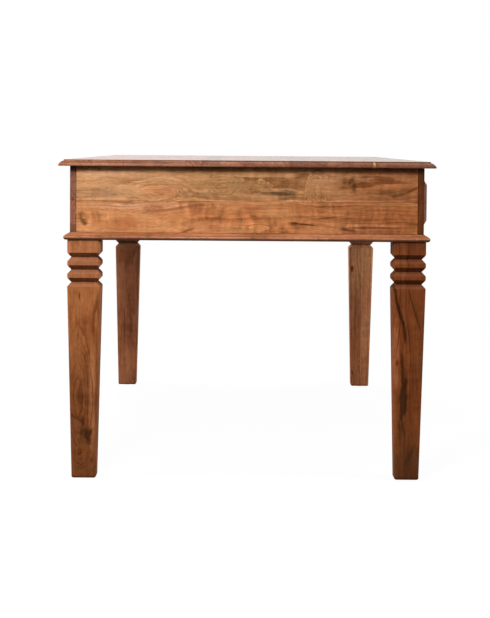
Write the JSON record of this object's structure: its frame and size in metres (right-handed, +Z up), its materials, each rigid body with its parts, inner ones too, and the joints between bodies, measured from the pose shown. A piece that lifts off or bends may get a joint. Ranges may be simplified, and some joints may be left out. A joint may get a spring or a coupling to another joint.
{
  "type": "campaign desk",
  "caption": "Solid-wood writing desk with a moulded top, a case of drawers in its front, a moulded base frame and square tapered legs with V-cut rings.",
  "frame": {"origin": "on the floor, under the middle of the desk", "axes": "+X along the desk to the right of the person sitting at it, -Y towards that person, +Z up"},
  "size_m": [1.8, 0.91, 0.77],
  "materials": {
    "top_wood": "satin lacquer",
    "case_wood": "satin lacquer",
    "moulding_wood": "satin lacquer",
    "leg_wood": "satin lacquer",
    "drawer_front_wood": "satin lacquer",
    "inner_wood": "sawn, unfinished",
    "drawer_box_wood": "sanded, unfinished",
    "drawer_bottom_panel": "plain plywood",
    "knob_brass": "aged",
    "fastener_steel": "zinc plated",
    "glide_plastic": "matte"
  },
  "bodies": {
    "desk": {"back_left_leg": "leg_wood", "back_lower_board": "case_wood", "back_right_leg": "leg_wood", "back_upper_board": "case_wood", "base_back_moulding": "moulding_wood", "base_front_moulding": "moulding_wood", "base_left_moulding": "moulding_wood", "base_right_moulding": "moulding_wood", "centre_bay_kicker": "inner_wood", "centre_bay_left_runner": "inner_wood", "centre_bay_right_runner": "inner_wood", "desk_top": "top_wood", "front_bottom_rail": "case_wood", "front_left_end_stile": "case_wood", "front_left_leg": "leg_wood", "front_left_mid_stile": "case_wood", "front_right_end_stile": "case_wood", "front_right_leg": "leg_wood", "front_right_mid_stile": "case_wood", "front_top_rail": "case_wood", "left_bay_kicker": "inner_wood", "left_bay_left_runner": "inner_wood", "left_bay_right_runner": "inner_wood", "left_end_lower_board": "case_wood", "left_end_upper_board": "case_wood", "left_partition": "inner_wood", "leg_bolt_washers": "fastener_steel", "leg_bolts": "fastener_steel", "leg_glides": "glide_plastic", "right_bay_kicker": "inner_wood", "right_bay_left_runner": "inner_wood", "right_bay_right_runner": "inner_wood", "right_end_lower_board": "case_wood", "right_end_upper_board": "case_wood", "right_partition": "inner_wood", "top_screws": "fastener_steel"},
    "left_drawer": {"left_drawer_back": "drawer_box_wood", "left_drawer_bottom": "drawer_bottom_panel", "left_drawer_front": "drawer_front_wood", "left_drawer_knob": "knob_brass", "left_drawer_knob_screw": "fastener_steel", "left_drawer_left_side": "drawer_box_wood", "left_drawer_right_side": "drawer_box_wood"},
    "centre_drawer": {"centre_drawer_back": "drawer_box_wood", "centre_drawer_bottom": "drawer_bottom_panel", "centre_drawer_front": "drawer_front_wood", "centre_drawer_knob": "knob_brass", "centre_drawer_knob_screw": "fastener_steel", "centre_drawer_left_side": "drawer_box_wood", "centre_drawer_right_side": "drawer_box_wood"},
    "right_drawer": {"right_drawer_back": "drawer_box_wood", "right_drawer_bottom": "drawer_bottom_panel", "right_drawer_front": "drawer_front_wood", "right_drawer_knob": "knob_brass", "right_drawer_knob_screw": "fastener_steel", "right_drawer_left_side": "drawer_box_wood", "right_drawer_right_side": "drawer_box_wood"}
  },
  "joints": [
    {"name": "left_drawer_slide", "type": "slide", "parent": "desk", "child": "left_drawer", "axis": [0, -1, 0], "range_m": [0, 0.42]},
    {"name": "centre_drawer_slide", "type": "slide", "parent": "desk", "child": "centre_drawer", "axis": [0, -1, 0], "range_m": [0, 0.42]},
    {"name": "right_drawer_slide", "type": "slide", "parent": "desk", "child": "right_drawer", "axis": [0, -1, 0], "range_m": [0, 0.42]}
  ]
}
